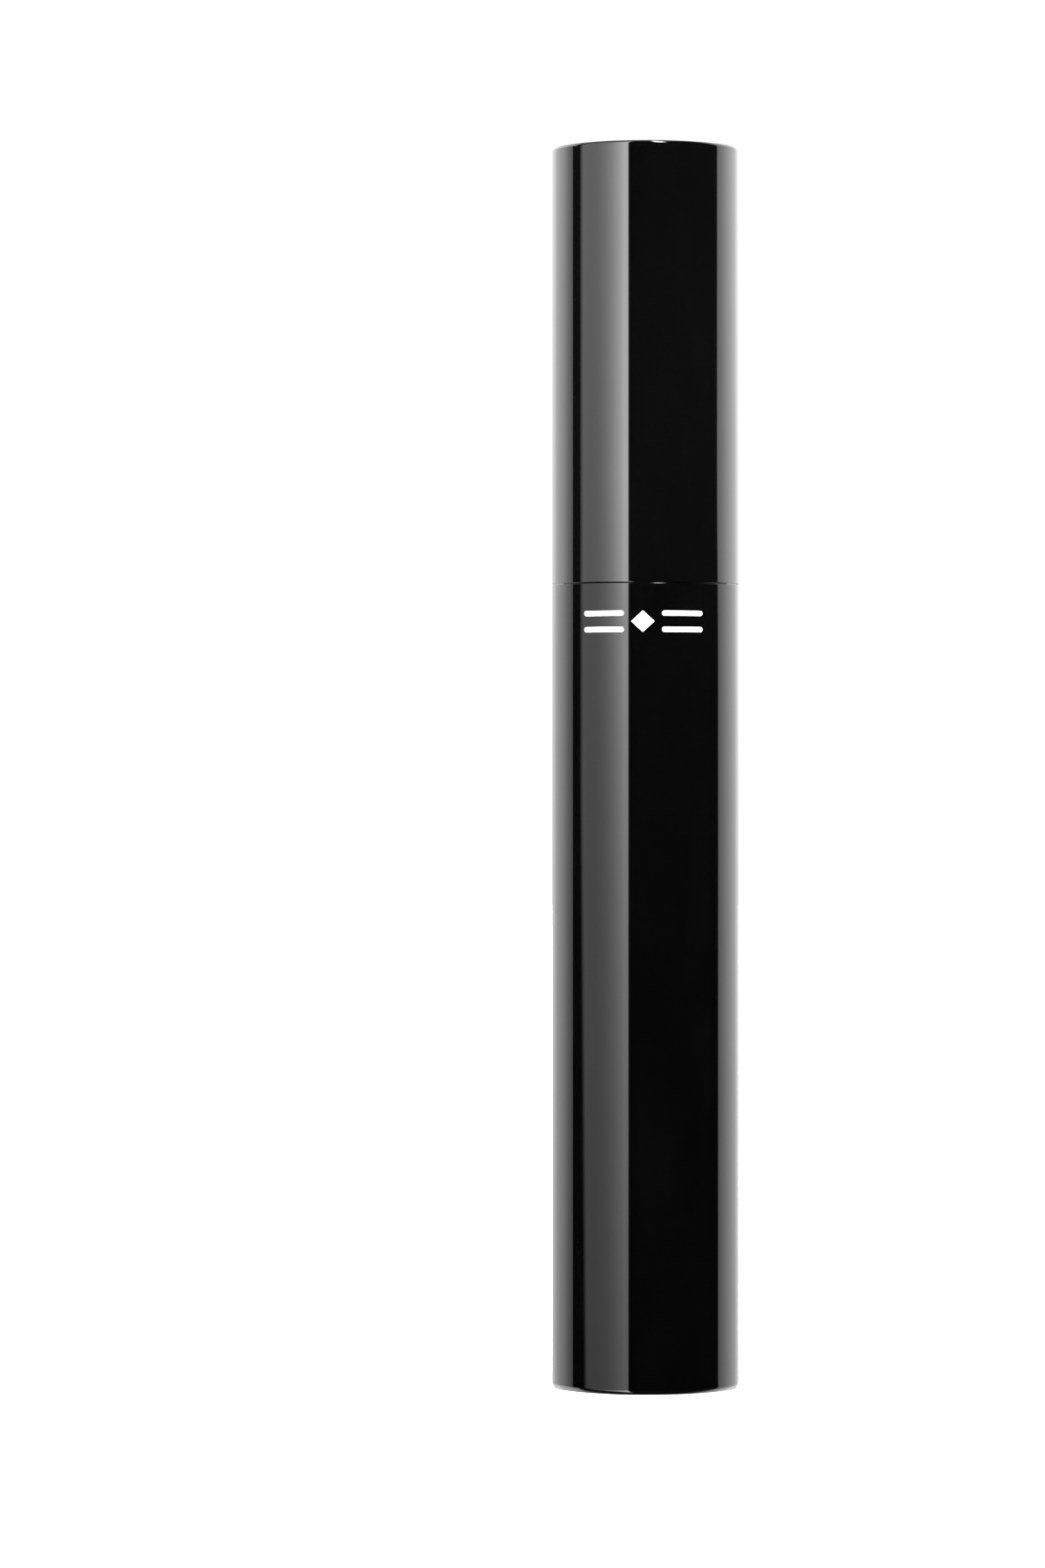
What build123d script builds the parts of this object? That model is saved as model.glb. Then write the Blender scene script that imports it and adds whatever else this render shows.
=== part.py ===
from build123d import *
import math
import os

# A round mascara: a bottle that stands on z = 0 and a cap that carries the rod and brush.
# Millimetres, +Z up the tube's axis, origin at the centre of the base.

# Driving dimensions, outside
tube_diameter = 19.6
tube_height = 130.0
joint_height = 84.2
joint_gap = 0.08
shell_wall = 1.2
base_edge_radius = 0.5
top_edge_radius = 0.3
mouth_edge_radius = 0.06

# Driving dimensions, wand
rod_diameter_at_mouth = 5.12
rod_diameter_at_brush = 4.97
rod_exposed = 42.7
brush_diameter = 8.8
bristle_length = 28.5
collar_length = 0.5
collar_diameter = 4.3
blob_length = 4.3

# Driving dimensions, closure
neck_bore_radius = 5.3
neck_wall = 1.3
neck_rise = 12.4
thread_pitch = 2.6
thread_turns = 2.25
thread_depth = 0.45
thread_foot_share = 0.68
thread_crest_share = 0.28
thread_lead_degrees = 14
thread_crest_clearance = 0.05
wiper_orifice_clearance = 0.07

# Fits between pieces that stay together
seat_gap = 0.01
loose_gap = 0.1

# How far an added feature reaches into the wall that it stands on
root_bite = 0.2

# Outside, derived
tube_radius = tube_diameter / 2
shell_bore_radius = tube_radius - shell_wall
sleeve_top = joint_height - joint_gap / 2
cap_mouth = joint_height + joint_gap / 2

# Wand stations, from the cap's mouth down
rod_end = cap_mouth - rod_exposed
bristle_top = rod_end - collar_length
bristle_bottom = bristle_top - bristle_length
wand_tip = bristle_bottom - blob_length
brush_radius = brush_diameter / 2

# Base of the bottle
recess_radius = 7.0
recess_depth = 0.35
label_thickness = 0.12
label_edge_gap = 0.2
sleeve_floor_top = 1.8
sleeve_floor_fillet = 0.5

# Vial
vial_radius = 7.7
vial_wall = 1.3
vial_floor = 1.4
vial_floor_fillet = 3.0
vial_heel_radius = 0.8
vial_shoulder = 81.8
vial_inner_shoulder = 79.6
band_radius = shell_bore_radius - loose_gap
band_height = 4.0
band_slope = 0.6
band_starts = (8.0, 72.0)
vial_bottom = sleeve_floor_top
vial_bore_radius = vial_radius - vial_wall
vial_inside_bottom = vial_bottom + vial_floor

# Neck and wiper
neck_radius = neck_bore_radius + neck_wall
neck_top = joint_height + neck_rise
neck_crest_radius = neck_radius + thread_depth
neck_thread_start = joint_height + 3.6
stop_bead_bottom = joint_height + 0.4
stop_bead_top = joint_height + 1.6
stop_bead_lower_slope = 0.2
stop_bead_upper_slope = 0.4
stop_bead_radius = neck_crest_radius - 0.15
shoulder_ring_edge_radius = 0.2
shoulder_ring_side_gap = 0.04
wiper_flange_thickness = 0.8
wiper_flange_radius = neck_radius - 0.2
wiper_flange_edge_radius = 0.3
wiper_wall = 0.6
wiper_skirt_bottom = joint_height + 2.0
wiper_skirt_root = wiper_skirt_bottom + 0.4
wiper_lip_top = joint_height - 2.6
wiper_lip_bottom = wiper_lip_top - 0.7
wiper_lip_thickness = 0.45
wiper_bead_height = neck_top - 3.5
wiper_bead_depth = 0.2
wiper_bead_half_height = 0.35
wiper_groove_half_height = 0.45
wiper_top = neck_top + wiper_flange_thickness

# Cap inside
washer_thickness = 1.2
washer_radius = 6.3
washer_bore_radius = 2.75
roof_bottom = wiper_top + washer_thickness
roof_thickness = 1.8
roof_top = roof_bottom + roof_thickness
skirt_bottom = joint_height + 1.2
skirt_radius = shell_bore_radius - 0.3
skirt_crest_radius = neck_crest_radius + thread_crest_clearance
skirt_bore_radius = skirt_crest_radius + thread_depth + thread_crest_clearance
skirt_thread_start = skirt_bottom + 1.2
spline_count = 16
spline_width = 0.7
spline_end_gap = 0.5
socket_radius = 4.2
spigot_radius = 2.8
spigot_top = roof_bottom + 11.0
web_count = 6
web_thickness = 1.0
web_height = 4.0
cap_roof_thickness = 1.6
weight_length = 8.0
weight_radius = shell_bore_radius - loose_gap
weight_top = tube_height - cap_roof_thickness
weight_bottom = weight_top - weight_length
weight_chamfer = 0.4

# Rod and the core's shank in it
rod_end_edge_radius = 0.45
spigot_edge_radius = 0.6
shank_length = 7.0
shank_end_gap = 0.2
shank_lead_length = 0.5
shank_lead_depth = 0.4

# Brush
column_count = 16
rows_per_column = 25
first_row_share = 0.4
hub_radius = 1.9
core_radius = 1.3
core_nose_radius = 0.5
core_nose = bristle_bottom - 1.2
spike_thickness = 0.34
spike_base_width = 0.62
spike_tip_width = 0.2
brush_end_radius = 2.7
brush_end_taper = 5.2
column_end_gap = 0.1
clogged_radius = 3.25
clogged_start = bristle_bottom + 2.0
clogged_end = bristle_top - 0.8
formula_end_gap = 0.2
blob_base_radius = 2.6
blob_tip_radius = 0.25

# Formula left in the vial
formula_top = 70.0
formula_path_radius = brush_radius + 0.45
formula_pool_top = wand_tip - 0.6
formula_pool_fillet = 1.2
formula_rim_drop = 1.5


def outline(*points):
    """Face with the given (radius, height) corners, drawn in XY ready to be turned."""
    return make_face(Polyline(*points, close=True))


def rounded(face, radius, *corners):
    """The face with the corners nearest the given points rounded."""
    for corner in corners:
        nearest = face.vertices().sort_by_distance((corner[0], corner[1], 0))[0]
        face = fillet(nearest, radius)
    return face


def turned(face):
    """Solid of revolution of an outline about the tube's axis."""
    return revolve(Plane.XZ * face, Axis.Z, 360)


def ring(inner, outer, bottom, top):
    """Plain ring or disc about the axis."""
    return turned(outline((inner, bottom), (outer, bottom), (outer, top), (inner, top)))


def thread(root, depth, start, outward=True):
    """One start of the right-hand closure thread, its foot sunk into the wall it stands on."""
    way = 1 if outward else -1
    foot = thread_pitch * thread_foot_share / 2
    crest = thread_pitch * thread_crest_share / 2
    helix = Helix(pitch=thread_pitch, height=thread_pitch * thread_turns, radius=root)
    section = make_face(
        Polyline(
            (root - way * root_bite, 0, -foot),
            (root + way * depth, 0, -crest),
            (root + way * depth, 0, crest),
            (root - way * root_bite, 0, foot),
            close=True,
        )
    )
    ridge = sweep(section, path=helix, is_frenet=True)
    ridge -= thread_lead(root, depth * way, 0, 1)
    ridge -= thread_lead(root, depth * way, thread_turns, -1)
    return Pos(0, 0, start) * ridge


def thread_lead(root, rise, turns, way):
    """Block that cuts the thread's end to a ramp, which climbs by rise from the root as it goes way."""
    end = math.radians(360 * turns)
    crest = end + way * math.radians(thread_lead_degrees)
    foot_x = root * math.cos(end)
    foot_y = root * math.sin(end)
    ramp_x = (root + rise) * math.cos(crest) - foot_x
    ramp_y = (root + rise) * math.sin(crest) - foot_y
    ramp_length = math.hypot(ramp_x, ramp_y)
    side = 1 if rise > 0 else -1
    out_x = side * math.cos(end)
    out_y = side * math.sin(end)
    turned_by = math.degrees(math.atan2(ramp_y, ramp_x))
    # of the ramp's two normals, the one on the side of the crest
    normal_x = -ramp_y / ramp_length
    normal_y = ramp_x / ramp_length
    if normal_x * out_x + normal_y * out_y < 0:
        normal_x = -normal_x
        normal_y = -normal_y
    middle_x = foot_x + ramp_x / 2 + normal_x * thread_pitch / 2
    middle_y = foot_y + ramp_y / 2 + normal_y * thread_pitch / 2
    block = Box(2 * ramp_length, thread_pitch, thread_pitch)
    return Pos(middle_x, middle_y, thread_pitch * turns) * Rot(0, 0, turned_by) * block


def rod_radius(height):
    """Radius of the tapered rod at a height above the base."""
    slope = (rod_diameter_at_mouth - rod_diameter_at_brush) / 2 / rod_exposed
    return rod_diameter_at_brush / 2 + slope * (height - rod_end)


def bristle_radius(height):
    """Radius of the bristle tips: full over most of the brush, less towards its end."""
    share = min(1.0, (height - bristle_bottom) / brush_end_taper)
    return brush_end_radius + (brush_radius - brush_end_radius) * math.sin(share * math.pi / 2)


def make_outer_sleeve():
    profile = outline(
        (0, recess_depth),
        (recess_radius, recess_depth),
        (recess_radius, 0),
        (tube_radius, 0),
        (tube_radius, sleeve_top),
        (shell_bore_radius, sleeve_top),
        (shell_bore_radius, sleeve_floor_top),
        (0, sleeve_floor_top),
    )
    profile = rounded(profile, base_edge_radius, (tube_radius, 0))
    profile = rounded(profile, mouth_edge_radius, (tube_radius, sleeve_top))
    profile = rounded(profile, sleeve_floor_fillet, (shell_bore_radius, sleeve_floor_top))
    return turned(profile)


def make_base_label():
    label_bottom = recess_depth - label_thickness
    return ring(0, recess_radius - label_edge_gap, label_bottom, recess_depth)


def make_vial():
    profile = outline(
        (0, vial_bottom),
        (vial_radius, vial_bottom),
        (vial_radius, vial_shoulder),
        (neck_radius, vial_shoulder),
        (neck_radius, neck_top),
        (neck_bore_radius, neck_top),
        (neck_bore_radius, vial_shoulder),
        (vial_bore_radius, vial_inner_shoulder),
        (vial_bore_radius, vial_inside_bottom),
        (0, vial_inside_bottom),
    )
    profile = rounded(profile, vial_heel_radius, (vial_radius, vial_bottom))
    profile = rounded(profile, vial_floor_fillet, (vial_bore_radius, vial_inside_bottom))
    vial = turned(profile)
    for start in band_starts:
        band = outline(
            (vial_radius - root_bite, start),
            (band_radius, start + band_slope),
            (band_radius, start + band_height - band_slope),
            (vial_radius - root_bite, start + band_height),
        )
        vial += turned(band)
    vial -= ring(
        neck_bore_radius - root_bite,
        neck_bore_radius + wiper_bead_depth,
        wiper_bead_height - wiper_groove_half_height,
        wiper_bead_height + wiper_groove_half_height,
    )
    vial += thread(neck_radius, thread_depth, neck_thread_start)
    # stop bead under the thread, which the cap's skirt comes down over
    bead = outline(
        (neck_radius - root_bite, stop_bead_bottom),
        (stop_bead_radius, stop_bead_bottom + stop_bead_lower_slope),
        (stop_bead_radius, stop_bead_top - stop_bead_upper_slope),
        (neck_radius - root_bite, stop_bead_top),
    )
    return vial + turned(bead)


def make_shoulder_ring():
    profile = outline(
        (neck_radius + shoulder_ring_side_gap, vial_shoulder + seat_gap),
        (shell_bore_radius - shoulder_ring_side_gap, vial_shoulder + seat_gap),
        (shell_bore_radius - shoulder_ring_side_gap, sleeve_top),
        (neck_radius + shoulder_ring_side_gap, sleeve_top),
    )
    profile = rounded(
        profile,
        shoulder_ring_edge_radius,
        (shell_bore_radius, sleeve_top),
        (neck_radius, sleeve_top),
    )
    return turned(profile)


def make_wiper():
    outer = neck_bore_radius - seat_gap
    orifice = rod_radius(wiper_lip_top) + wiper_orifice_clearance
    bead = outer + wiper_bead_depth - seat_gap
    profile = outline(
        (outer - wiper_wall, wiper_top),
        (wiper_flange_radius, wiper_top),
        (wiper_flange_radius, neck_top + seat_gap),
        (outer, neck_top + seat_gap),
        (outer, wiper_bead_height + wiper_bead_half_height),
        (bead, wiper_bead_height),
        (outer, wiper_bead_height - wiper_bead_half_height),
        (outer, wiper_skirt_bottom),
        (orifice + wiper_lip_thickness, wiper_lip_bottom),
        (orifice, wiper_lip_bottom),
        (orifice, wiper_lip_top),
        (outer - wiper_wall, wiper_skirt_root),
    )
    profile = rounded(
        profile,
        wiper_flange_edge_radius,
        (wiper_flange_radius, wiper_top),
        (outer - wiper_wall, wiper_top),
    )
    return turned(profile)


def make_formula_bulk():
    outer = vial_bore_radius - seat_gap
    bottom = vial_inside_bottom + seat_gap
    profile = outline(
        (0, bottom),
        (outer, bottom),
        (outer, formula_top),
        (formula_path_radius, formula_top - formula_rim_drop),
        (formula_path_radius, formula_pool_top),
        (0, formula_pool_top),
    )
    profile = rounded(profile, vial_floor_fillet, (outer, bottom))
    profile = rounded(profile, formula_pool_fillet, (formula_path_radius, formula_pool_top))
    return turned(profile)


def make_seal_ring():
    return ring(washer_bore_radius, washer_radius, wiper_top + seat_gap, roof_bottom - seat_gap)


def make_cap_shell():
    profile = outline(
        (shell_bore_radius, cap_mouth),
        (tube_radius, cap_mouth),
        (tube_radius, tube_height),
        (0, tube_height),
        (0, weight_top),
        (shell_bore_radius, weight_top),
    )
    profile = rounded(profile, top_edge_radius, (tube_radius, tube_height))
    profile = rounded(profile, mouth_edge_radius, (tube_radius, cap_mouth))
    return turned(profile)


def make_inner_cap():
    skirt = turned(
        outline(
            (skirt_bore_radius, skirt_bottom),
            (skirt_radius, skirt_bottom),
            (skirt_radius, roof_top),
            (socket_radius, roof_top),
            (socket_radius, weight_bottom - seat_gap),
            (spigot_radius, weight_bottom - seat_gap),
            (spigot_radius, roof_bottom),
            (skirt_bore_radius, roof_bottom),
        )
    )
    spline_depth = shell_bore_radius - seat_gap - skirt_radius
    spline_length = roof_top - skirt_bottom - 2 * spline_end_gap
    for step in range(spline_count):
        spline = Box(spline_depth + root_bite, spline_width, spline_length)
        radius = skirt_radius + (spline_depth - root_bite) / 2
        height = (roof_top + skirt_bottom) / 2
        skirt += Rot(0, 0, step * 360 / spline_count) * Pos(radius, 0, height) * spline
    for step in range(web_count):
        reach = skirt_radius - socket_radius
        web = Box(reach, web_thickness, web_height + root_bite)
        radius = socket_radius + reach / 2 - root_bite
        height = roof_top + (web_height - root_bite) / 2
        skirt += Rot(0, 0, step * 360 / web_count) * Pos(radius, 0, height) * web
    depth = skirt_bore_radius - skirt_crest_radius
    return skirt + thread(skirt_bore_radius, depth, skirt_thread_start, outward=False)


def make_cap_weight():
    weight = Pos(0, 0, (weight_bottom + weight_top - seat_gap) / 2) * Cylinder(
        weight_radius, weight_length - seat_gap
    )
    return chamfer(weight.edges().filter_by(GeomType.CIRCLE), weight_chamfer)


def make_rod():
    spigot = spigot_radius - seat_gap
    mouth = rod_radius(cap_mouth)
    shoulder = rod_radius(roof_bottom)
    profile = outline(
        (0, rod_end),
        (rod_radius(rod_end), rod_end),
        (mouth, cap_mouth),
        (shoulder, roof_bottom + seat_gap),
        (spigot, roof_bottom + seat_gap),
        (spigot, spigot_top),
        (0, spigot_top),
    )
    profile = rounded(profile, rod_end_edge_radius, (rod_radius(rod_end), rod_end))
    profile = rounded(profile, spigot_edge_radius, (spigot, spigot_top))
    shank_hole = Pos(0, 0, rod_end + shank_length / 2) * Cylinder(
        core_radius + seat_gap, shank_length + 2 * shank_end_gap
    )
    return turned(profile) - shank_hole


def make_brush_core():
    """Shank in the rod, collar against the rod's end, and a pin that tapers off in the blob."""
    return turned(
        outline(
            (0, core_nose),
            (core_nose_radius, core_nose),
            (core_radius, bristle_bottom),
            (core_radius, bristle_top),
            (collar_diameter / 2, bristle_top),
            (collar_diameter / 2, rod_end - seat_gap),
            (core_radius, rod_end - seat_gap),
            (core_radius, rod_end + shank_length - shank_lead_length),
            (core_radius - shank_lead_depth, rod_end + shank_length),
            (0, rod_end + shank_length),
        )
    )


def make_spike_column(phase):
    """One straight column of spikes, standing on the hub at +X."""
    pitch = bristle_length / rows_per_column
    foot = hub_radius - root_bite
    bottom = bristle_bottom + column_end_gap
    top = bristle_top - column_end_gap
    corners = [(foot, bottom), (hub_radius, bottom)]
    for row in range(rows_per_column):
        height = bristle_bottom + (row + first_row_share + phase) * pitch
        if not bottom < height - spike_base_width / 2 < top - spike_base_width:
            continue
        tip = bristle_radius(height)
        corners.append((hub_radius, height - spike_base_width / 2))
        corners.append((tip, height - spike_tip_width / 2))
        corners.append((tip, height + spike_tip_width / 2))
        corners.append((hub_radius, height + spike_base_width / 2))
    corners += [(hub_radius, top), (foot, top)]
    return extrude(Plane.XZ * outline(*corners), spike_thickness / 2, both=True)


def make_brush_bristles():
    """Soft sleeve over the core, with its spikes staggered from column to column."""
    hub = ring(core_radius + seat_gap, hub_radius, bristle_bottom, bristle_top - seat_gap)
    columns = []
    for step in range(column_count):
        column = make_spike_column(0.5 * (step % 2))
        columns.append(Rot(0, 0, step * 360 / column_count) * column)
    return hub + columns


def make_formula_coat(core, bristles):
    """Formula that fills the spikes' feet and runs to a blob beyond the end of the brush."""
    body = turned(
        outline(
            (0, wand_tip),
            (blob_tip_radius, wand_tip),
            (blob_base_radius, bristle_bottom),
            (clogged_radius, clogged_start),
            (clogged_radius, clogged_end),
            (hub_radius + formula_end_gap, bristle_top - formula_end_gap),
            (0, bristle_top - formula_end_gap),
        )
    )
    return body - core - bristles


def main():
    brush_core = make_brush_core()
    brush_bristles = make_brush_bristles()
    pieces = {
        "outer_sleeve": make_outer_sleeve(),
        "base_label": make_base_label(),
        "vial": make_vial(),
        "shoulder_ring": make_shoulder_ring(),
        "wiper": make_wiper(),
        "formula_bulk": make_formula_bulk(),
        "seal_ring": make_seal_ring(),
        "cap_shell": make_cap_shell(),
        "inner_cap": make_inner_cap(),
        "cap_weight": make_cap_weight(),
        "rod": make_rod(),
        "brush_core": brush_core,
        "brush_bristles": brush_bristles,
        "formula_coat": make_formula_coat(brush_core, brush_bristles),
    }
    os.makedirs("parts", exist_ok=True)
    for name, piece in pieces.items():
        export_step(piece, f"parts/{name}.step")
    print("wand tip", wand_tip, "lift to clear the wiper", wiper_top - wand_tip)


main()
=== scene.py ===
import math
import random

import bmesh
import bpy
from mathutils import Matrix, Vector, noise


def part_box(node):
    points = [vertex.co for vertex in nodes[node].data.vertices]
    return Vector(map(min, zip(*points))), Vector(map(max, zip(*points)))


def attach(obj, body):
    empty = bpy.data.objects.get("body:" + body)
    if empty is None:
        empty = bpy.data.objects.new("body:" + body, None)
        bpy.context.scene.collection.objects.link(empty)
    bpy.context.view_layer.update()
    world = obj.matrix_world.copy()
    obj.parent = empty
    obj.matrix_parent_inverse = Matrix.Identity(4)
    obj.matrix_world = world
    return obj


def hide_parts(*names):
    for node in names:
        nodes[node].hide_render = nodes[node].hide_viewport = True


# A gloss black mascara on a white sweep. Metres, in the CAD frame: the tube stands on z = 0
# with its axis on Z, and the camera looks along +Y.

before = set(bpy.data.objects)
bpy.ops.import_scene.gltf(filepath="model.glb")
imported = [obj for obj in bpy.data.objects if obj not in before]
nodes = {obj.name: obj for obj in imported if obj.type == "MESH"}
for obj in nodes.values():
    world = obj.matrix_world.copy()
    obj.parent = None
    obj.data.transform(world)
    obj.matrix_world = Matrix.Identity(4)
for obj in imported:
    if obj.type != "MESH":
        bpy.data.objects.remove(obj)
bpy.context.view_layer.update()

MM = 0.001


# ---------------------------------------------------------------- driving values

# taken from the frame
bristles_low, bristles_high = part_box("brush_bristles")
bulk_low, bulk_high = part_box("formula_bulk")
sleeve_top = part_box("outer_sleeve")[1].z
tube_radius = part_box("cap_shell")[1].x
wand_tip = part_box("formula_coat")[0].z
brush_radius = bristles_high.x
brush_end = bristles_low.z
brush_top = bristles_high.z

# brush and the formula on it
column_count = 16
spike_group = 4.57 * MM
spike_foot_radius = 1.5 * MM
hub_radius = 1.9 * MM
hub_bore = 1.32 * MM
brush_end_radius = 2.7 * MM
brush_end_taper = 5.2 * MM
formula_body_radius = 3.05 * MM
formula_voxel = 0.12 * MM


# ---------------------------------------------------------------- node helpers


def new_material(name):
    """Empty node material with a Principled shader wired to its output."""
    material = bpy.data.materials.new(name)
    material.use_nodes = True
    tree = material.node_tree
    tree.nodes.clear()
    output = tree.nodes.new("ShaderNodeOutputMaterial")
    shader = tree.nodes.new("ShaderNodeBsdfPrincipled")
    tree.links.new(shader.outputs["BSDF"], output.inputs["Surface"])
    return material, tree, shader


def object_coordinates(tree, scale=(1, 1, 1)):
    """Object coordinates, stretched by scale."""
    source = tree.nodes.new("ShaderNodeTexCoord")
    mapping = tree.nodes.new("ShaderNodeMapping")
    mapping.inputs["Scale"].default_value = scale
    tree.links.new(source.outputs["Object"], mapping.inputs["Vector"])
    return mapping.outputs["Vector"]


def noise_texture(tree, vector, size, detail):
    """Noise whose features are about size metres across."""
    texture = tree.nodes.new("ShaderNodeTexNoise")
    texture.inputs["Scale"].default_value = 1.0 / size
    texture.inputs["Detail"].default_value = detail
    texture.inputs["Roughness"].default_value = 0.55
    tree.links.new(vector, texture.inputs["Vector"])
    return texture.outputs["Fac"]


def between(tree, factor, low, high, source=(0.35, 0.65)):
    """A number that runs from low to high as factor runs through source."""
    ramp = tree.nodes.new("ShaderNodeMapRange")
    ramp.inputs["From Min"].default_value = source[0]
    ramp.inputs["From Max"].default_value = source[1]
    ramp.inputs["To Min"].default_value = low
    ramp.inputs["To Max"].default_value = high
    tree.links.new(factor, ramp.inputs["Value"])
    return ramp.outputs["Result"]


def colours_between(tree, factor, *stops):
    """Colour ramp through (position, colour) stops."""
    ramp = tree.nodes.new("ShaderNodeValToRGB")
    elements = ramp.color_ramp.elements
    while len(elements) < len(stops):
        elements.new(0.5)
    for element, (position, colour) in zip(elements, stops):
        element.position = position
        element.color = (*colour, 1.0)
    tree.links.new(factor, ramp.inputs["Fac"])
    return ramp.outputs["Color"]


def number(tree, operation, first, second=None):
    """One math node; inputs are sockets or numbers."""
    node = tree.nodes.new("ShaderNodeMath")
    node.operation = operation
    for socket, value in zip(node.inputs, (first, second)):
        if value is None:
            continue
        if isinstance(value, (int, float)):
            socket.default_value = value
        else:
            tree.links.new(value, socket)
    return node.outputs["Value"]


def grey(value, warm=0.0):
    """Neutral colour, a little red where warm is above 0."""
    return (value * (1 + warm), value, value * (1 - warm))


def bump(tree, shader, height, depth, strength):
    """Bump on the shader, depth metres deep."""
    node = tree.nodes.new("ShaderNodeBump")
    node.inputs["Strength"].default_value = strength
    node.inputs["Distance"].default_value = depth
    tree.links.new(height, node.inputs["Height"])
    tree.links.new(node.outputs["Normal"], shader.inputs["Normal"])


# ---------------------------------------------------------------- materials


def lacquer(name, specular):
    """Deep gloss black: mirror-smooth, with the faint haze of handling and a trace of orange peel."""
    material, tree, shader = new_material(name)
    shader.inputs["IOR"].default_value = 1.5
    shader.inputs["Specular IOR Level"].default_value = specular
    place = object_coordinates(tree, (1, 1, 0.4))
    haze = noise_texture(tree, place, 6 * MM, detail=5.0)
    tint = colours_between(tree, haze, (0.3, grey(0.0002)), (0.75, grey(0.0005)))
    tree.links.new(tint, shader.inputs["Base Color"])
    tree.links.new(between(tree, haze, 0.022, 0.04), shader.inputs["Roughness"])
    peel = noise_texture(tree, object_coordinates(tree), 1.6 * MM, detail=1.0)
    bump(tree, shader, peel, 0.0004 * MM, 0.5)
    return material


def moulded(name, value, roughness, grain, grain_depth, variation=0.2):
    """Moulded plastic, film or foam with a fine texture, a slightly cloudy tint and uneven gloss."""
    material, tree, shader = new_material(name)
    shader.inputs["IOR"].default_value = 1.48
    cloud = noise_texture(tree, object_coordinates(tree), 4 * MM, detail=4.0)
    darkest = grey(value * (1 - variation))
    lightest = grey(value * (1 + variation))
    tint = colours_between(tree, cloud, (0.3, darkest), (0.7, lightest))
    tree.links.new(tint, shader.inputs["Base Color"])
    gloss = between(tree, cloud, roughness * 0.85, roughness * 1.2)
    tree.links.new(gloss, shader.inputs["Roughness"])
    grains = noise_texture(tree, object_coordinates(tree), grain, detail=2.0)
    bump(tree, shader, grains, grain_depth, 0.6)
    return material


def wet_formula(name):
    """Thick black cream: broad soft sheen under a wet, broken highlight, and a painted sheen in the
    smooth blob, whose base colour is lighter.
    """
    blob_edge = brush_end - 0.3 * MM
    blob_fade = 1.5 * MM
    material, tree, shader = new_material(name)
    shader.inputs["IOR"].default_value = 1.42
    shader.inputs["Coat Roughness"].default_value = 0.12
    shader.inputs["Coat IOR"].default_value = 1.45
    place = object_coordinates(tree)
    lumps = noise_texture(tree, place, 1.2 * MM, detail=4.0)
    parts = tree.nodes.new("ShaderNodeSeparateXYZ")
    tree.links.new(place, parts.inputs["Vector"])
    # blob is 1 in the smooth blob and 0 above it: it lightens the base colour there as a painted sheen,
    # and also drops the coat and roughens it
    blob = between(tree, parts.outputs["Z"], 1.0, 0.0, (blob_edge, blob_edge + blob_fade))
    lump_tone_and_painted_sheen = number(tree, "MULTIPLY", number(tree, "ADD", lumps, blob), 0.5)
    # base colour: random tone from the lumps, lifted in the blob by the painted sheen
    tint = colours_between(
        tree,
        lump_tone_and_painted_sheen,
        (0.15, grey(0.004, 0.02)),
        (0.4, grey(0.008, 0.03)),
        (0.75, grey(0.028, 0.01)),
    )
    tree.links.new(tint, shader.inputs["Base Color"])
    tree.links.new(between(tree, blob, 0.5, 0.0, (0.0, 1.0)), shader.inputs["Coat Weight"])
    dullness = number(tree, "ADD", between(tree, lumps, 0.3, 0.5), number(tree, "MULTIPLY", blob, 0.2))
    tree.links.new(dullness, shader.inputs["Roughness"])
    fine = noise_texture(tree, place, 0.36 * MM, detail=3.0)
    bump(tree, shader, fine, 0.055 * MM, 0.8)
    return material


def smeared_elastomer(name):
    """Satin elastomer, wet with formula in the bore and in smears round its rim."""
    smear_edge = 6.05 * MM
    smear_fade = 0.15 * MM
    material, tree, shader = new_material(name)
    shader.inputs["IOR"].default_value = 1.48
    place = object_coordinates(tree)
    parts = tree.nodes.new("ShaderNodeSeparateXYZ")
    tree.links.new(place, parts.inputs["Vector"])
    square = [number(tree, "MULTIPLY", parts.outputs[axis], parts.outputs[axis]) for axis in "XY"]
    radius = number(tree, "SQRT", number(tree, "ADD", *square))
    drips = noise_texture(tree, place, 2.2 * MM, detail=4.0)
    wander = number(tree, "MULTIPLY", drips, 2.2 * MM)
    outward = number(tree, "ADD", radius, wander)
    smear = between(tree, outward, 1.0, 0.0, (smear_edge, smear_edge + smear_fade))
    tint = colours_between(tree, smear, (0.0, grey(0.012)), (1.0, grey(0.004, 0.03)))
    tree.links.new(tint, shader.inputs["Base Color"])
    tree.links.new(between(tree, smear, 0.42, 0.2, (0.0, 1.0)), shader.inputs["Roughness"])
    lumps = noise_texture(tree, place, 0.5 * MM, detail=3.0)
    height = number(tree, "MULTIPLY", smear, number(tree, "ADD", lumps, 0.6))
    bump(tree, shader, height, 0.06 * MM, 0.9)
    return material


def steel(name):
    """Turned steel with rings left by the tool."""
    material, tree, shader = new_material(name)
    shader.inputs["Metallic"].default_value = 1.0
    rings = noise_texture(tree, object_coordinates(tree, (0.05, 0.05, 1)), 0.15 * MM, detail=2.0)
    tint = colours_between(tree, rings, (0.3, grey(0.42)), (0.7, grey(0.6)))
    tree.links.new(tint, shader.inputs["Base Color"])
    tree.links.new(between(tree, rings, 0.22, 0.4), shader.inputs["Roughness"])
    bump(tree, shader, rings, 0.004 * MM, 0.5)
    return material


def ink(name):
    """Opaque white print, slightly satin, with the grain of a screen print."""
    material, tree, shader = new_material(name)
    speck = noise_texture(tree, object_coordinates(tree), 0.08 * MM, detail=2.0)
    tint = colours_between(tree, speck, (0.2, grey(0.86)), (0.8, grey(0.93)))
    tree.links.new(tint, shader.inputs["Base Color"])
    tree.links.new(between(tree, speck, 0.42, 0.55), shader.inputs["Roughness"])
    bump(tree, shader, speck, 0.002 * MM, 0.4)
    return material


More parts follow.
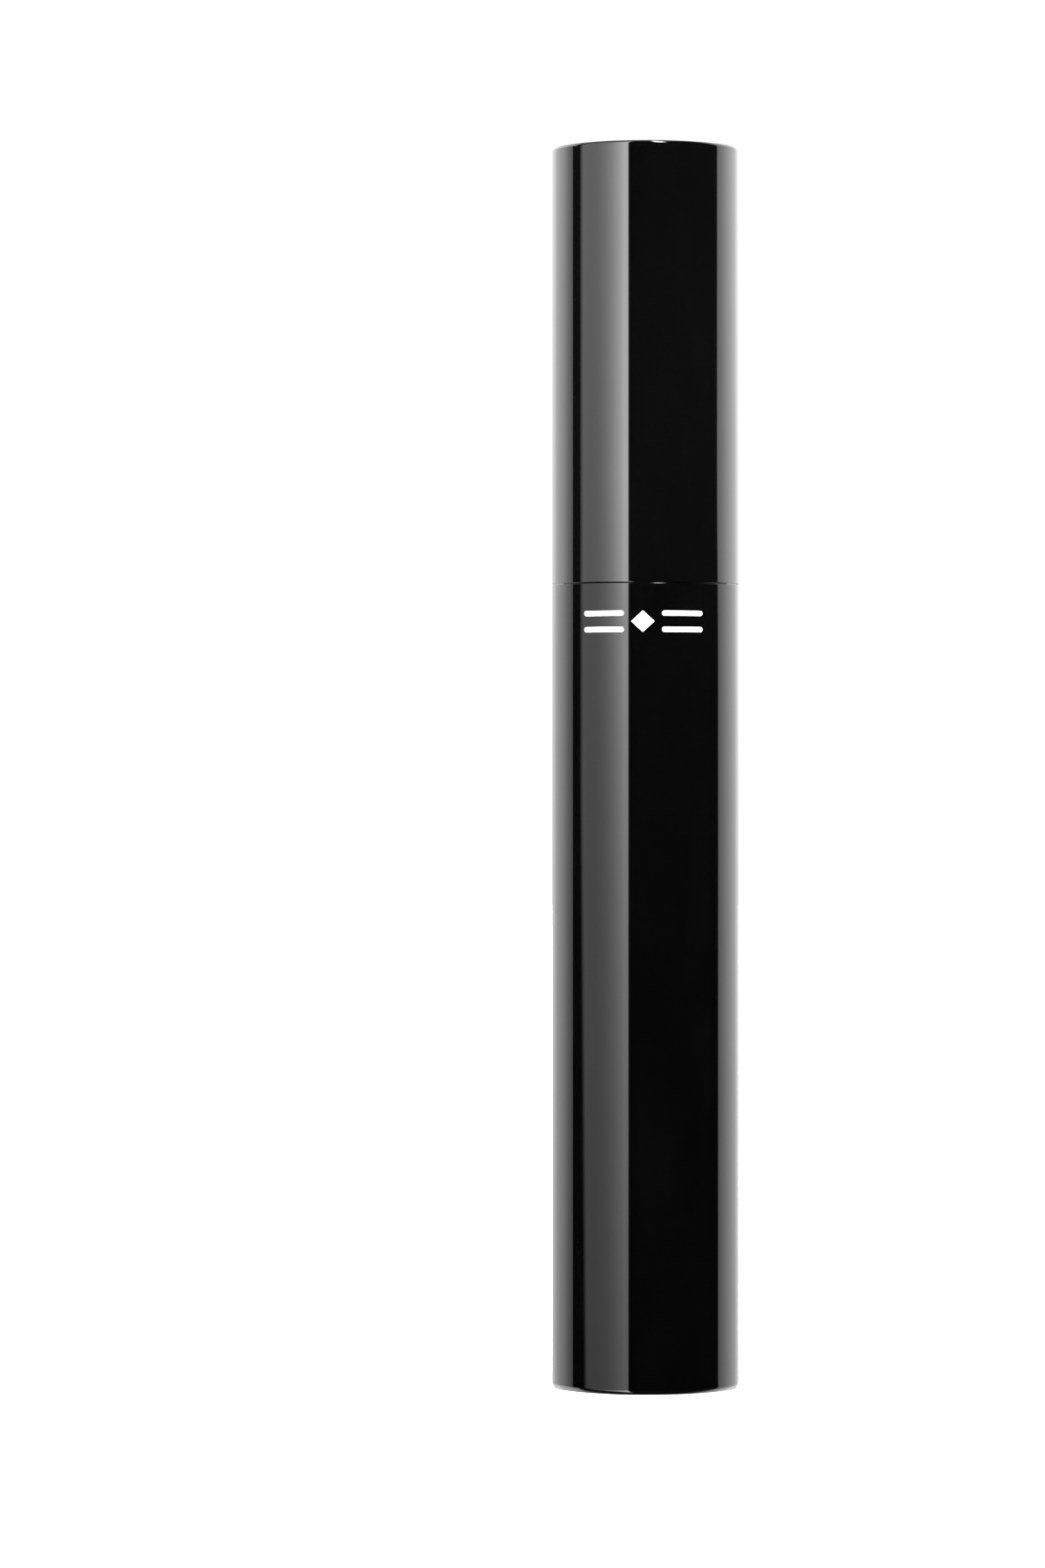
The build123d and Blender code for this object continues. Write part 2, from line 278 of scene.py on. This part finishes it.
def sweep_paper(name):
    """Matt white studio sweep."""
    material, tree, shader = new_material(name)
    shader.inputs["Specular IOR Level"].default_value = 0.1
    fibre = noise_texture(tree, object_coordinates(tree), 30 * MM, detail=4.0)
    tint = colours_between(tree, fibre, (0.3, grey(0.9)), (0.7, grey(0.92)))
    tree.links.new(tint, shader.inputs["Base Color"])
    tree.links.new(between(tree, fibre, 0.8, 0.9), shader.inputs["Roughness"])
    return material


def repaint(node, material):
    """Gives a CAD node one material in all its slots."""
    slots = nodes[node].data.materials
    if not slots:
        slots.append(material)
    for index in range(len(slots)):
        slots[index] = material


# ---------------------------------------------------------------- mesh helpers


def mesh_object(name, mesh_builder, material, smooth=True):
    """Object made from a finished bmesh."""
    mesh = bpy.data.meshes.new(name)
    bmesh.ops.recalc_face_normals(mesh_builder, faces=mesh_builder.faces)
    mesh_builder.to_mesh(mesh)
    mesh_builder.free()
    mesh.materials.append(material)
    for polygon in mesh.polygons:
        polygon.use_smooth = smooth
    piece = bpy.data.objects.new(name, mesh)
    bpy.context.collection.objects.link(piece)
    return piece


def apply_modifier(piece, kind, **settings):
    """Adds one modifier and applies it at once."""
    modifier = piece.modifiers.new(kind.title(), kind)
    for key, value in settings.items():
        setattr(modifier, key, value)
    bpy.context.view_layer.objects.active = piece
    piece.select_set(True)
    bpy.ops.object.modifier_apply(modifier=modifier.name)
    piece.select_set(False)


def join_rings(builder, rings):
    """Skin of four-sided faces from each ring of points to the next."""
    for lower, upper in zip(rings, rings[1:]):
        sides = len(lower)
        for step in range(sides):
            after = (step + 1) % sides
            builder.faces.new((lower[step], lower[after], upper[after], upper[step]))


def add_tapered(builder, start, end, radii, bend=Vector(), sides=10):
    """Closed round taper from start to end, bent sideways, with evenly spaced radii and a domed tip."""
    dome_rings = 2
    axis = (end - start).normalized()
    across = axis.orthogonal().normalized()
    along = axis.cross(across)
    sections = []
    for index, radius in enumerate(radii):
        share = index / (len(radii) - 1)
        sections.append((start.lerp(end, share) + bend * share**2, radius))
    end = end + bend
    tip_radius = radii[-1]
    for index in range(1, dome_rings + 1):
        angle = index / (dome_rings + 1) * math.pi / 2
        sections.append((end + axis * tip_radius * math.sin(angle), tip_radius * math.cos(angle)))
    rings = []
    for centre, radius in sections:
        ring = []
        for step in range(sides):
            turn = 2 * math.pi * step / sides
            offset = across * math.cos(turn) + along * math.sin(turn)
            ring.append(builder.verts.new(centre + offset * radius))
        rings.append(ring)
    join_rings(builder, rings)
    foot = builder.verts.new(start)
    tip = builder.verts.new(end + axis * tip_radius)
    for step in range(sides):
        after = (step + 1) % sides
        builder.faces.new((foot, rings[0][after], rings[0][step]))
        builder.faces.new((tip, rings[-1][step], rings[-1][after]))


def add_turned(builder, outline, sides):
    """Lathe of (radius, height) points, each radius above 0, closed back to its start."""
    rings = []
    for radius, height in outline:
        ring = []
        for step in range(sides):
            turn = 2 * math.pi * step / sides
            ring.append(builder.verts.new((radius * math.cos(turn), radius * math.sin(turn), height)))
        rings.append(ring)
    rings.append(rings[0])
    join_rings(builder, rings)


# ---------------------------------------------------------------- printed ornament


def bar_outline(length, thickness, centre):
    """Flat bar with round ends."""
    end_radius = thickness / 2
    points = []
    for side in (1, -1):
        for step in range(13):
            angle = math.radians(-90 + 15 * step)
            across = side * (length / 2 - end_radius + end_radius * math.cos(angle))
            up = side * end_radius * math.sin(angle)
            points.append((centre[0] + across, centre[1] + up))
    return points


def lozenge_outline(width, height):
    """Lozenge round the middle of the ornament."""
    return [(width / 2, 0), (0, height / 2), (-width / 2, 0), (0, -height / 2)]


def print_on_tube(name, outlines, facing, height, thickness, material):
    """Flat outlines wrapped round the bottle as a thin skin of ink, turned by facing from the front."""
    builder = bmesh.new()
    for outline in outlines:
        builder.faces.new([builder.verts.new((across, up, 0)) for across, up in outline])
    reach = max(abs(vertex.co.x) for vertex in builder.verts)
    step = 0.25 * MM
    cuts = int(reach / step) + 1
    for index in range(-cuts, cuts + 1):
        geometry = list(builder.verts) + list(builder.edges) + list(builder.faces)
        bmesh.ops.bisect_plane(
            builder, geom=geometry, plane_co=(index * step, 0, 0), plane_no=(1, 0, 0)
        )
    skin = bmesh.ops.extrude_face_region(builder, geom=list(builder.faces))
    for element in skin["geom"]:
        if isinstance(element, bmesh.types.BMVert):
            element.co.z = thickness
    for vertex in builder.verts:
        turn = facing + vertex.co.x / tube_radius
        radius = tube_radius + vertex.co.z
        vertex.co = Vector((radius * math.sin(turn), -radius * math.cos(turn), height + vertex.co.y))
    return mesh_object(name, builder, material, smooth=False)


def make_front_mark():
    """A lozenge between two pairs of slim bars, printed below the joint."""
    mark_height = 2.2 * MM
    lozenge_width = 2.4 * MM
    bar_thickness = 0.52 * MM
    bar_length = 4.6 * MM
    bar_centre = 4.3 * MM
    ink_thickness = 0.015 * MM
    facing = math.radians(-2.7)
    height = sleeve_top - 4.0 * MM
    rise = (mark_height - bar_thickness) / 2
    outlines = [lozenge_outline(lozenge_width, mark_height)]
    for side in (-1, 1):
        for level in (-1, 1):
            outlines.append(bar_outline(bar_length, bar_thickness, (side * bar_centre, level * rise)))
    mark = print_on_tube("front_mark", outlines, facing, height, ink_thickness, ink("white_ink"))
    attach(mark, "bottle")


# ---------------------------------------------------------------- brush


def bristle_reach(height):
    """Radius of the spikes' tips: full over most of the brush, less towards its end."""
    share = min(1.0, max(0.0, (height - brush_end) / brush_end_taper))
    return brush_end_radius + (brush_radius - brush_end_radius) * math.sin(share * math.pi / 2)


def spike_heights(column):
    """Heights of one column's spikes, in groups that repeat along the brush."""
    # millimetres from the start of a group, one row for each column, and then again from the first
    patterns = (
        (0.0, 1.2, 3.1, 3.75),
        (0.55, 1.75, 2.6, 4.1),
        (0.1, 1.3, 2.45, 3.6),
        (0.7, 1.9, 3.0, 4.2),
        (0.0, 1.1, 2.4, 3.5),
        (0.5, 1.7, 2.9, 4.0),
        (0.2, 1.35, 2.5, 3.7),
        (0.65, 1.8, 2.95, 4.15),
        (0.3, 1.35, 2.8),
        (0.0, 1.2, 2.3, 4.2),
    )
    pattern = patterns[column % len(patterns)]
    heights = []
    start = brush_end - spike_group / 2
    while start < brush_top:
        for offset in pattern:
            height = start + offset * MM
            if brush_end + 0.25 * MM < height < brush_top - 0.35 * MM:
                heights.append(height)
        start += spike_group
    return heights


def make_spikes(rng):
    """(column, foot, tip, bend) of every spike on the brush."""
    spikes = []
    for column in range(column_count):
        for height in spike_heights(column):
            turn = 2 * math.pi * (column + rng.uniform(-0.05, 0.05)) / column_count
            outward = Vector((math.cos(turn), math.sin(turn), 0))
            sideways = Vector((-outward.y, outward.x, 0))
            reach = bristle_reach(height) * rng.uniform(0.94, 1.0) - 0.15 * MM
            foot = outward * spike_foot_radius + Vector((0, 0, height))
            tip = outward * reach + Vector((0, 0, height + rng.uniform(-0.1, 0.1) * MM))
            bend = sideways * rng.uniform(-0.14, 0.14) * MM
            bend.z = rng.uniform(-0.22, 0.12) * MM
            spikes.append((column, foot, tip, bend))
    return spikes


def make_bristles(spikes, material):
    """The moulded sleeve and its bare spikes."""
    hub_outline = [
        (hub_bore, brush_end + 0.15 * MM),
        (hub_radius, brush_end + 0.3 * MM),
        (hub_radius, brush_top - 0.1 * MM),
        (hub_bore, brush_top),
    ]
    builder = bmesh.new()
    add_turned(builder, hub_outline, sides=48)
    for _, foot, tip, bend in spikes:
        add_tapered(builder, foot, tip, [0.3 * MM, 0.26 * MM, 0.2 * MM, 0.13 * MM], bend)
    piece = mesh_object("bristle_sleeve", builder, material)
    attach(piece, "cap")
    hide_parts("brush_bristles")


def blob_radius(from_point, turn):
    """Radius of the blob at a distance from its point, straight on one flank and full on the other."""
    # distances from the point and the two flanks' radii there, in millimetres
    stations = (0.0, 1.13, 2.27, 3.4, 4.5, 6.4)
    straight = (0.1, 0.54, 1.07, 1.93, 2.62, 1.9)
    full = (0.1, 0.64, 1.28, 1.9, 2.12, 1.8)
    distance = min(from_point / MM, stations[-1])
    for index in range(len(stations) - 1):
        if distance <= stations[index + 1]:
            break
    share = (distance - stations[index]) / (stations[index + 1] - stations[index])
    on_straight = straight[index] + share * (straight[index + 1] - straight[index])
    on_full = full[index] + share * (full[index + 1] - full[index])
    return ((on_straight + on_full) / 2 + (on_straight - on_full) / 2 * math.cos(turn)) * MM


def add_formula_body(builder):
    """Cream packed round the brush's core, a little slimmer towards the blob and the rod."""
    outline = [
        (0.4 * MM, brush_end + 0.3 * MM),
        (1.9 * MM, brush_end + 0.4 * MM),
        (2.6 * MM, brush_end + 2.6 * MM),
        (formula_body_radius, brush_end + 5.4 * MM),
        (formula_body_radius, brush_top - 1.0 * MM),
        (2.3 * MM, brush_top - 0.3 * MM),
        (0.4 * MM, brush_top - 0.2 * MM),
    ]
    add_turned(builder, outline, sides=64)


def add_blob(builder):
    """Pointed blob of formula on the brush's end, with soft folds drawn towards its point."""
    rings = []
    sides = 72
    stations = 44
    length = brush_end - wand_tip + 2.0 * MM
    for index in range(stations + 1):
        from_point = index / stations * length
        depth = min(1.0, from_point / (2.5 * MM))
        height = wand_tip + 0.03 * MM + from_point
        ring = []
        for step in range(sides):
            turn = 2 * math.pi * step / sides
            drift = turn + 0.12 * math.sin(from_point / MM * 0.8)
            folds = 0.05 * math.sin(5 * drift) + 0.035 * math.sin(11 * drift + 1.0)
            radius = blob_radius(from_point, turn) * (1 + folds * depth)
            ring.append(builder.verts.new((radius * math.cos(turn), radius * math.sin(turn), height)))
        rings.append(ring)
    join_rings(builder, rings)
    builder.faces.new(rings[0])
    builder.faces.new(rings[-1])


def add_lumps(builder, rng):
    """Small eggs of formula, stretched along the brush, that stick to its columns of spikes."""
    lump_count = 420
    for _ in range(lump_count):
        turn = 2 * math.pi * (rng.randrange(column_count) + rng.uniform(-0.22, 0.22)) / column_count
        height = rng.uniform(brush_end + 1.2 * MM, brush_top - 0.8 * MM)
        out = min(bristle_reach(height) - 1.3 * MM, rng.uniform(2.6, 3.1) * MM)
        centre = Vector((out * math.cos(turn), out * math.sin(turn), height))
        size = rng.uniform(0.2, 0.46) * MM
        stretch = rng.uniform(0.8, 1.8)
        lump = bmesh.ops.create_icosphere(builder, subdivisions=2, radius=size)
        for vertex in lump["verts"]:
            vertex.co.z *= stretch
            vertex.co += centre


def add_fillets(builder, spikes, rng):
    """Formula that climbs each spike from its foot and thins towards its tip."""
    for _, foot, tip, bend in spikes:
        thick = rng.uniform(0.82, 1.12)
        radii = [0.62 * thick, 0.6 * thick, 0.54 * thick, 0.32 * thick, 0.2]
        add_tapered(builder, foot, foot.lerp(tip, 0.98), [radius * MM for radius in radii], bend)


def on_spike(spike, radius):
    """Point of a spike's middle line at a distance from the brush's axis."""
    _, foot, tip, bend = spike
    foot_radius = foot.xy.length
    share = min(1.0, (radius - foot_radius) / (tip.xy.length - foot_radius))
    return foot.lerp(tip, share) + bend * share**2


def web_chance(ridge, same, banded):
    """How likely formula joins two neighbouring spikes: up one column, or across to the next."""
    if ridge:
        return 1.0
    if same:
        return 0.75
    return 0.95 if banded else 0.35


def add_webs(builder, spikes, rng):
    """Webs of formula between neighbouring spikes: ridges near the brush's end, bands higher up."""
    ridges_end = brush_end + 4.6 * MM
    band_place = 0.7 * MM
    band_half_width = 0.5 * MM
    for spike in spikes:
        column, foot = spike[0], spike[1]
        for other in spikes:
            rise = other[1].z - foot.z
            same = other[0] == column and 0 < rise < 1.3 * MM
            beside = other[0] == (column + 1) % column_count and abs(rise) < 0.75 * MM
            ridge = same and foot.z < ridges_end
            phase = (foot.z - brush_end + spike_group / 2) % spike_group
            banded = beside and abs(phase - band_place) < band_half_width
            if not (same or beside) or rng.random() > web_chance(ridge, same, banded):
                continue
            depth = rng.uniform(0.75, 1.5)
            close = same and rise < 0.8 * MM and rng.random() < 0.5
            if ridge:
                depth = rng.uniform(0.3, 0.6)
            elif close:
                depth = 0.35
            elif banded:
                depth = 0.7
            thick = (0.14 if close or ridge else rng.uniform(0.17, 0.3)) * MM
            reach = bristle_reach(foot.z) - depth * MM
            start = on_spike(spike, reach)
            end = on_spike(other, reach)
            middle = (start + end) / 2
            outward = Vector((middle.x, middle.y, 0)).normalized()
            middle -= outward * rng.uniform(0.05, 0.2) * MM
            add_tapered(builder, start, middle, [thick, thick * 0.85], sides=8)
            add_tapered(builder, end, middle, [thick, thick * 0.85], sides=8)


def ripple(piece):
    """Pushes the formula's surface in and out a little, but not the spikes' tips or the blob."""
    reach = 3.7 * MM
    for vertex in piece.data.vertices:
        # millimetres: swellings about a millimetre across, with finer ones on them
        swell = noise.noise(vertex.co * 900) * 0.12 + noise.noise(vertex.co * 2400) * 0.07
        if vertex.co.xy.length < reach and vertex.co.z > brush_end:
            outward = Vector((vertex.co.x, vertex.co.y, 0)).normalized()
            vertex.co += outward * swell * MM


def make_formula_coat(spikes, rng, material):
    """Formula that clogs the brush: body, blob, fillets, webs and lumps, melted into one skin."""
    builder = bmesh.new()
    add_formula_body(builder)
    add_blob(builder)
    add_fillets(builder, spikes, rng)
    add_webs(builder, spikes, rng)
    add_lumps(builder, rng)
    piece = mesh_object("formula_on_brush", builder, material)
    apply_modifier(piece, "REMESH", mode="VOXEL", voxel_size=formula_voxel)
    ripple(piece)
    apply_modifier(piece, "SMOOTH", factor=0.5, iterations=2)
    for polygon in piece.data.polygons:
        polygon.use_smooth = True
    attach(piece, "cap")
    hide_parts("formula_coat")


# ---------------------------------------------------------------- formula left in the vial


def lining_outline(inner, pool):
    """Half section of the lining: round heel, outer wall, inner wall, and the pool's level top."""
    outer = bulk_high.x
    middle = 0.2 * MM
    top = bulk_high.z
    inner_top = top - 1.5 * MM
    bottom_round = 3.0 * MM
    wall_foot = bulk_low.z + bottom_round
    wall_rows = 60
    outline = [(middle, bulk_low.z)]
    for step in range(7):
        angle = math.radians(-90 + 15 * step)
        across = outer - bottom_round + bottom_round * math.cos(angle)
        outline.append((across, wall_foot + bottom_round * math.sin(angle)))
    for row in range(1, wall_rows + 1):
        outline.append((outer, wall_foot + row / wall_rows * (top - wall_foot)))
    for row in range(wall_rows + 1):
        outline.append((inner, inner_top + row / wall_rows * (pool + 1.2 * MM - inner_top)))
    outline.append((inner - 1.0 * MM, pool))
    outline.append((middle, pool))
    return outline


def make_vial_formula(material):
    """Smeared lining of the vial and the pool under the brush, clear of the brush's path."""
    inner = brush_radius + 0.45 * MM
    pool = wand_tip - 0.6 * MM
    builder = bmesh.new()
    add_turned(builder, lining_outline(inner, pool), sides=72)
    piece = mesh_object("formula_in_vial", builder, material)
    for vertex in piece.data.vertices:
        on_inner_wall = abs(vertex.co.xy.length - inner) < 0.2 * MM
        if on_inner_wall and vertex.co.z > pool + 1.0 * MM:
            push = 1.02 + 0.09 * abs(noise.noise(vertex.co * 420))
            vertex.co.x *= push
            vertex.co.y *= push
        at_rim = vertex.co.z > bulk_high.z - 1.8 * MM
        if at_rim:
            sag = abs(noise.noise(Vector((vertex.co.x, vertex.co.y, 0)) * 260))
            vertex.co.z -= sag * 2.5 * MM
    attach(piece, "bottle")
    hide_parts("formula_bulk")


# ---------------------------------------------------------------- studio


def soft_step(tree, value, start, end, low=0.0, high=1.0):
    """Soft step from low to high as value goes from start to end."""
    node = tree.nodes.new("ShaderNodeMapRange")
    node.interpolation_type = "SMOOTHSTEP"
    node.inputs["From Min"].default_value = start
    node.inputs["From Max"].default_value = end
    node.inputs["To Min"].default_value = low
    node.inputs["To Max"].default_value = high
    tree.links.new(value, node.inputs["Value"])
    return node.outputs["Result"]


def times(tree, *values):
    """Product of sockets and numbers."""
    product = values[0]
    for value in values[1:]:
        product = number(tree, "MULTIPLY", product, value)
    return product


def plus(tree, *values):
    """Sum of sockets and numbers."""
    total = values[0]
    for value in values[1:]:
        total = number(tree, "ADD", total, value)
    return total


def studio_directions(tree):
    """A direction's parts across and up, from -1 to 1, and its azimuth in degrees, 0 to the camera."""
    coordinates = tree.nodes.new("ShaderNodeTexCoord")
    parts = tree.nodes.new("ShaderNodeSeparateXYZ")
    tree.links.new(coordinates.outputs["Generated"], parts.inputs["Vector"])
    across, depth, up = parts.outputs["X"], parts.outputs["Y"], parts.outputs["Z"]
    front = number(tree, "MULTIPLY", depth, -1.0)
    azimuth = number(tree, "DEGREES", number(tree, "ARCTAN2", across, front))
    return across, up, azimuth


def falling(tree, up, rate, level, top):
    """Brightness that is level at the tube's shoulder and falls below it; the lit floor mirrors it."""
    shoulder = 0.0363
    floor_line = -0.11
    mirrored = number(tree, "SUBTRACT", 2 * floor_line, up)
    rise = number(tree, "SUBTRACT", number(tree, "MAXIMUM", up, mirrored), shoulder)
    value = number(tree, "EXPONENT", number(tree, "MULTIPLY", rise, rate))
    return number(tree, "MINIMUM", number(tree, "MULTIPLY", value, level), top)


def backdrop_glow(tree, across, up, azimuth):
    """Glowing backdrop behind the tube, its near edge a little closer on the right and higher up."""
    left_edge = 102.0
    right_edge = soft_step(tree, up, 0.017, 0.051, 100.0, 97.8)
    side = number(tree, "ABSOLUTE", azimuth)
    on_right = soft_step(tree, across, -0.01, 0.01)
    edge_shift = times(tree, on_right, number(tree, "SUBTRACT", right_edge, left_edge))
    from_edge = number(tree, "SUBTRACT", side, number(tree, "ADD", edge_shift, left_edge))
    soft_edge = soft_step(tree, from_edge, -0.5, 2.6)
    left_level = soft_step(tree, side, 103.0, 124.0, 1.55, 2.55)
    right_level = soft_step(tree, side, 100.0, 120.0, 2.2, 2.85)
    level_shift = times(tree, on_right, number(tree, "SUBTRACT", right_level, left_level))
    level = plus(tree, left_level, level_shift)
    fade = soft_step(tree, side, 122.0, 150.0, 1.0, 0.79)
    far_fade = soft_step(tree, side, 150.0, 182.0, 1.0, 0.4)
    return times(tree, soft_edge, level, fade, far_fade, falling(tree, up, 2.13, 0.92, 1.15))


def softbox_glow(tree, up, azimuth):
    """Tall softbox on the left, hottest near the edge towards the camera."""
    left = -87.5
    left_lean = 71.0
    right = -21.0
    level = 2.2
    hot_level = 8.6
    hot_start = -85.0
    hot_span = 60.0
    along = number(tree, "DIVIDE", number(tree, "SUBTRACT", azimuth, hot_start), hot_span)
    along = number(tree, "MINIMUM", number(tree, "MAXIMUM", along, 0.0), 0.96)
    hot = times(tree, number(tree, "POWER", along, 3.2), hot_level, falling(tree, up, 10.2, 0.87, 1.0))
    panel = plus(tree, times(tree, falling(tree, up, 3.8, 0.9, 1.12), level), hot)
    lean = number(tree, "MULTIPLY", number(tree, "MINIMUM", up, 0.0), left_lean)
    from_left = number(tree, "ADD", azimuth, number(tree, "SUBTRACT", lean, left))
    left_edge = soft_step(tree, from_left, -3.5, 4.5)
    right_edge = soft_step(tree, azimuth, right - 2.2, right, 1.0, 0.0)
    return times(tree, panel, left_edge, right_edge)


def lamp_glow(tree, up, azimuth):
    """Small lamp high in front, a little to the right, that glints in the rims."""
    strength = 60.0
    left_edge = soft_step(tree, azimuth, 8.0, 18.0)
    right_edge = soft_step(tree, azimuth, 19.0, 29.0, 1.0, 0.0)
    lower_edge = soft_step(tree, up, 0.3, 0.5)
    upper_edge = soft_step(tree, up, 0.9, 0.97, 1.0, 0.0)
    return times(tree, left_edge, right_edge, lower_edge, upper_edge, strength)


def make_reflections():
    """What the gloss reflects: backdrop, softbox, lamp, a dim bank overhead, and near black."""
    world = bpy.data.worlds.new("studio")
    bpy.context.scene.world = world
    world.use_nodes = True
    tree = world.node_tree
    tree.nodes.clear()
    output = tree.nodes.new("ShaderNodeOutputWorld")
    background = tree.nodes.new("ShaderNodeBackground")
    across, up, azimuth = studio_directions(tree)
    panels = plus(tree, backdrop_glow(tree, across, up, azimuth), softbox_glow(tree, up, azimuth))
    ceiling_cut = soft_step(tree, up, 0.6, 0.97, 1.0, 0.0)
    floor_cut = soft_step(tree, up, -0.95, -0.6)
    darkness = falling(tree, up, 10.6, 0.055, 0.067)
    overhead = soft_step(tree, up, 0.88, 0.985, 0.0, 1.4)
    panels = times(tree, panels, ceiling_cut, floor_cut)
    total = plus(tree, panels, darkness, overhead, lamp_glow(tree, up, azimuth))
    tree.links.new(total, background.inputs["Strength"])
    background.inputs["Color"].default_value = (1, 1, 1, 1)
    tree.links.new(background.outputs["Background"], output.inputs["Surface"])


def make_sweep():
    """Floor, and a plain white surround that only the camera sees."""
    floor_radius = 2.6
    surround_radius = 2.8
    builder = bmesh.new()
    bmesh.ops.create_circle(builder, cap_ends=True, segments=96, radius=floor_radius)
    floor = mesh_object("floor", builder, sweep_paper("sweep_paper"), smooth=False)
    floor.visible_glossy = False

    surround_paper = bpy.data.materials.new("surround_white")
    surround_paper.use_nodes = True
    tree = surround_paper.node_tree
    tree.nodes.clear()
    output = tree.nodes.new("ShaderNodeOutputMaterial")
    glow = tree.nodes.new("ShaderNodeEmission")
    glow.inputs["Strength"].default_value = 1.05
    tree.links.new(glow.outputs["Emission"], output.inputs["Surface"])
    builder = bmesh.new()
    bmesh.ops.create_uvsphere(builder, u_segments=64, v_segments=32, radius=surround_radius)
    surround = mesh_object("surround", builder, surround_paper)
    surround.visible_diffuse = False
    surround.visible_glossy = False
    surround.visible_transmission = False
    surround.visible_shadow = False


def area_light(name, place, size, power):
    """Soft light aimed at the middle of the tube, which the gloss doesn't show."""
    aim = Vector((0, 0, 0.06))
    light = bpy.data.lights.new(name, "AREA")
    light.shape = "SQUARE"
    light.size = size
    light.energy = power
    lamp = bpy.data.objects.new(name, light)
    bpy.context.collection.objects.link(lamp)
    lamp.location = place
    lamp.rotation_mode = "QUATERNION"
    lamp.rotation_quaternion = (aim - Vector(place)).to_track_quat("-Z", "Y")
    lamp.visible_glossy = False
    lamp.visible_camera = False


def make_lights():
    """The light on the parts that aren't mirrors."""
    area_light("overhead_bank", (0, 0, 1.6), 2.4, 80)
    area_light("front_fill", (-0.5, -1.3, 0.5), 0.7, 9)


def make_camera():
    """Level camera at the photographer's place: tube right of centre, eye near its middle."""
    aside = -12.92 * MM
    distance = 650 * MM
    eye_height = 63.3 * MM
    camera = bpy.data.cameras.new("camera")
    camera.lens = 142
    camera.sensor_width = 36
    camera.clip_start = 0.01
    camera.clip_end = 20
    stand = bpy.data.objects.new("camera", camera)
    bpy.context.collection.objects.link(stand)
    stand.location = (aside, -distance, eye_height)
    stand.rotation_euler = (math.radians(90), 0, 0)
    bpy.context.scene.camera = stand


# ---------------------------------------------------------------- assembly


view_settings = bpy.context.scene.view_settings
view_settings.view_transform = "Standard"
view_settings.look = "None"

make_camera()
make_reflections()
make_sweep()
make_lights()

repaint("outer_sleeve", lacquer("bottle_lacquer", 0.4))
repaint("cap_shell", lacquer("cap_lacquer", 0.5))
repaint("base_label", moulded("label_film", 0.7, 0.45, 0.4 * MM, 0.01 * MM, variation=0.03))
neck_plastic = moulded("neck_plastic", 0.003, 0.12, 0.5 * MM, 0.002 * MM)
repaint("vial", neck_plastic)
repaint("shoulder_ring", neck_plastic)
repaint("wiper", smeared_elastomer("wiper_elastomer"))
repaint("seal_ring", moulded("washer_foam", 0.7, 0.75, 0.12 * MM, 0.03 * MM, variation=0.06))
repaint("inner_cap", moulded("insert_plastic", 0.006, 0.35, 0.25 * MM, 0.006 * MM))
repaint("cap_weight", steel("weight_steel"))
rod_plastic = moulded("rod_plastic", 0.002, 0.1, 0.7 * MM, 0.002 * MM)
repaint("rod", rod_plastic)
repaint("brush_core", rod_plastic)

make_front_mark()
cream = wet_formula("wet_formula")
random_source = random.Random(7)
brush_spikes = make_spikes(random_source)
make_bristles(brush_spikes, moulded("bristle_elastomer", 0.012, 0.35, 0.2 * MM, 0.004 * MM))
make_formula_coat(brush_spikes, random_source, cream)
make_vial_formula(cream)
